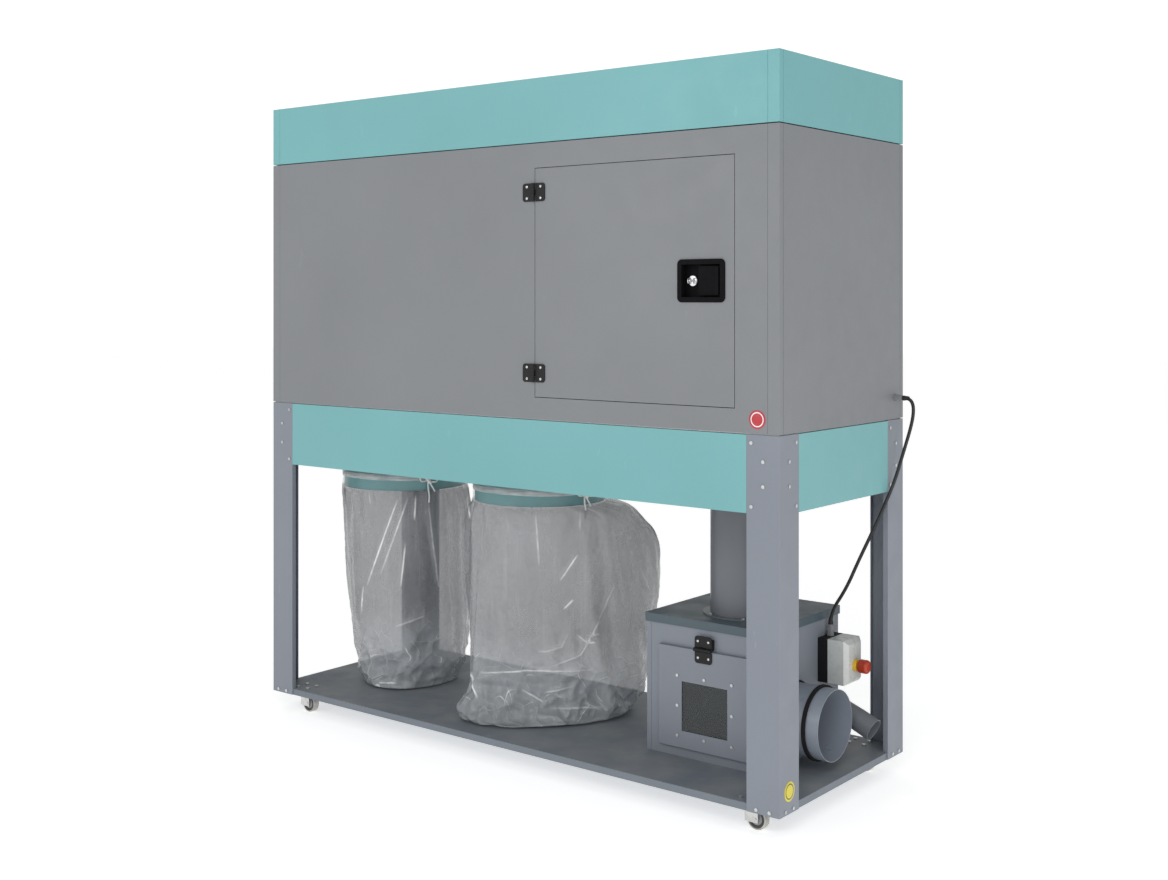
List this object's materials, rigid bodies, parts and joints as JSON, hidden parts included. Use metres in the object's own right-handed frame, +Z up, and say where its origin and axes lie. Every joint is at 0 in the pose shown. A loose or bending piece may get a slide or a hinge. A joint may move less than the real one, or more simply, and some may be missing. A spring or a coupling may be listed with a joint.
{
  "type": "dust collector",
  "caption": "Cabinet dust collector on casters: closed fan and filter cabinet on folded legs, two clear hanging bags, pre-separator box with round inlet, starter box.",
  "frame": {"origin": "on the floor below the middle of the whole footprint", "axes": "+X right along the front, +Y towards the rear, +Z up"},
  "size_m": [2.0781, 0.732, 2.062],
  "materials": {
    "paint_grey_legs": "fine powder coat",
    "paint_dark_grey": "fine powder coat",
    "paint_teal": "satin powder coat",
    "paint_grey_body": "fine powder coat",
    "galvanised": "galvanised sheet",
    "black_iron": "satin black",
    "black_plastic": "grained",
    "zinc": "zinc plated",
    "lock_chrome": "polished",
    "rubber_black": "matte",
    "filter_fleece": "pleated fleece",
    "film_clear": "clear polythene film",
    "fan_paint": "gloss enamel",
    "pane_clear": "clear pane",
    "cover_clear_grey": "pale grey housing",
    "stop_yellow": "moulded",
    "stop_red": "moulded",
    "steel_plain": "turned",
    "gland_grey": "moulded",
    "fork_zinc": "pressed, zinc plated",
    "caster_tyre": "tyre on a grey hub"
  },
  "bodies": {
    "root": {"leg_front_left": "paint_grey_legs", "leg_front_right": "paint_grey_legs", "leg_rear_left": "paint_grey_legs", "leg_rear_right": "paint_grey_legs", "base_pan": "paint_dark_grey", "separator_lid": "paint_dark_grey", "skirt_panels": "paint_teal", "top_cap": "paint_teal", "bag_collars": "paint_teal", "cabinet_front": "paint_grey_body", "cabinet_rear": "paint_grey_body", "cabinet_side_panels": "paint_grey_body", "separator_box": "paint_grey_body", "inlet_spigot": "paint_grey_body", "riser_duct": "paint_grey_body", "dust_stub": "paint_grey_body", "cabinet_floor": "galvanised", "partition": "galvanised", "bag_hoppers": "galvanised", "filter_plate": "galvanised", "separator_deflector": "galvanised", "outlet_grille": "galvanised", "bag_straps": "galvanised", "hinge_leaves_fixed": "black_iron", "starter_back": "black_plastic", "frame_screws": "zinc", "hinge_pins": "zinc", "caster_plates": "zinc", "door_seal": "rubber_black", "spigot_clamps": "rubber_black", "power_cable": "rubber_black", "filter_cartridges": "filter_fleece", "bag_left": "film_clear", "bag_right": "film_clear", "fan_scroll": "fan_paint", "motor": "fan_paint", "starter_cover": "cover_clear_grey", "estop_base": "stop_yellow", "cable_glands": "gland_grey"},
    "access_door": {"access_door": "paint_grey_body", "door_hinge_leaves": "black_iron", "latch_cup": "black_plastic"},
    "latch_paddle": {"latch_paddle": "black_plastic"},
    "latch_bolt": {"latch_bolt": "zinc"},
    "door_lock": {"door_lock": "lock_chrome"},
    "separator_flap": {"flap_door": "paint_grey_body", "flap_window": "pane_clear", "flap_screws": "zinc", "flap_hinge_leaf": "black_iron"},
    "impeller": {"impeller": "fan_paint"},
    "estop_plunger": {"estop_plunger": "steel_plain"},
    "estop_mushroom": {"estop_mushroom": "stop_red"},
    "caster_fork_front_left": {"caster_fork_front_left": "fork_zinc"},
    "caster_wheel_front_left": {"caster_wheel_front_left": "caster_tyre"},
    "caster_fork_front_right": {"caster_fork_front_right": "fork_zinc"},
    "caster_wheel_front_right": {"caster_wheel_front_right": "caster_tyre"},
    "caster_fork_rear_left": {"caster_fork_rear_left": "fork_zinc"},
    "caster_wheel_rear_left": {"caster_wheel_rear_left": "caster_tyre"},
    "caster_fork_rear_right": {"caster_fork_rear_right": "fork_zinc"},
    "caster_wheel_rear_right": {"caster_wheel_rear_right": "caster_tyre"}
  },
  "joints": [
    {"name": "access_door_swing", "type": "hinge", "parent": "root", "child": "access_door", "pos_m": [0.173, -0.3604, 1.459], "axis": [0, 0, -1], "range_deg": [0, 120]},
    {"name": "latch_paddle_pull", "type": "hinge", "parent": "access_door", "child": "latch_paddle", "pos_m": [0.7525, -0.345, 1.4605], "axis": [0, 0, -1], "range_deg": [0, 35], "stiffness_Nm_per_rad": 0.5},
    {"name": "latch_bolt_slide", "type": "slide", "parent": "access_door", "child": "latch_bolt", "axis": [-1, 0, 0], "range_m": [0, 0.012]},
    {"name": "door_lock_turn", "type": "hinge", "parent": "access_door", "child": "door_lock", "pos_m": [0.7255, -0.344, 1.4605], "axis": [0, 1, 0], "range_deg": [0, 90]},
    {"name": "separator_flap_swing", "type": "hinge", "parent": "root", "child": "separator_flap", "pos_m": [0.633, -0.1537, 0.406], "axis": [-1, 0, 0], "range_deg": [0, 90]},
    {"name": "impeller_spin", "type": "hinge", "parent": "root", "child": "impeller", "pos_m": [0.654, 0.038, 1.15], "axis": [0, 0, 1], "continuous": true},
    {"name": "estop_push", "type": "slide", "parent": "root", "child": "estop_plunger", "axis": [-1, 0, 0], "range_m": [0, 0.004], "stiffness_N_per_m": 800},
    {"name": "estop_twist", "type": "hinge", "parent": "estop_plunger", "child": "estop_mushroom", "pos_m": [0.95, 0.221, 0.335], "axis": [1, 0, 0], "range_deg": [0, 40], "stiffness_Nm_per_rad": 0.05},
    {"name": "swivel_front_left", "type": "hinge", "parent": "root", "child": "caster_fork_front_left", "pos_m": [-0.89, -0.3, 0.07], "axis": [0, 0, 1], "continuous": true},
    {"name": "roll_front_left", "type": "hinge", "parent": "caster_fork_front_left", "child": "caster_wheel_front_left", "pos_m": [-0.872, -0.3, 0.03], "axis": [0, 1, 0], "continuous": true},
    {"name": "swivel_front_right", "type": "hinge", "parent": "root", "child": "caster_fork_front_right", "pos_m": [0.89, -0.3, 0.07], "axis": [0, 0, 1], "continuous": true},
    {"name": "roll_front_right", "type": "hinge", "parent": "caster_fork_front_right", "child": "caster_wheel_front_right", "pos_m": [0.908, -0.3, 0.03], "axis": [0, 1, 0], "continuous": true},
    {"name": "swivel_rear_left", "type": "hinge", "parent": "root", "child": "caster_fork_rear_left", "pos_m": [-0.89, 0.31, 0.07], "axis": [0, 0, 1], "continuous": true},
    {"name": "roll_rear_left", "type": "hinge", "parent": "caster_fork_rear_left", "child": "caster_wheel_rear_left", "pos_m": [-0.872, 0.31, 0.03], "axis": [0, 1, 0], "continuous": true},
    {"name": "swivel_rear_right", "type": "hinge", "parent": "root", "child": "caster_fork_rear_right", "pos_m": [0.89, 0.31, 0.07], "axis": [0, 0, 1], "continuous": true},
    {"name": "roll_rear_right", "type": "hinge", "parent": "caster_fork_rear_right", "child": "caster_wheel_rear_right", "pos_m": [0.908, 0.31, 0.03], "axis": [0, 1, 0], "continuous": true}
  ],
  "couplings": [
    {"joint": "latch_bolt_slide", "follows": "latch_paddle_pull", "m_per_rad": 0.018826}
  ]
}
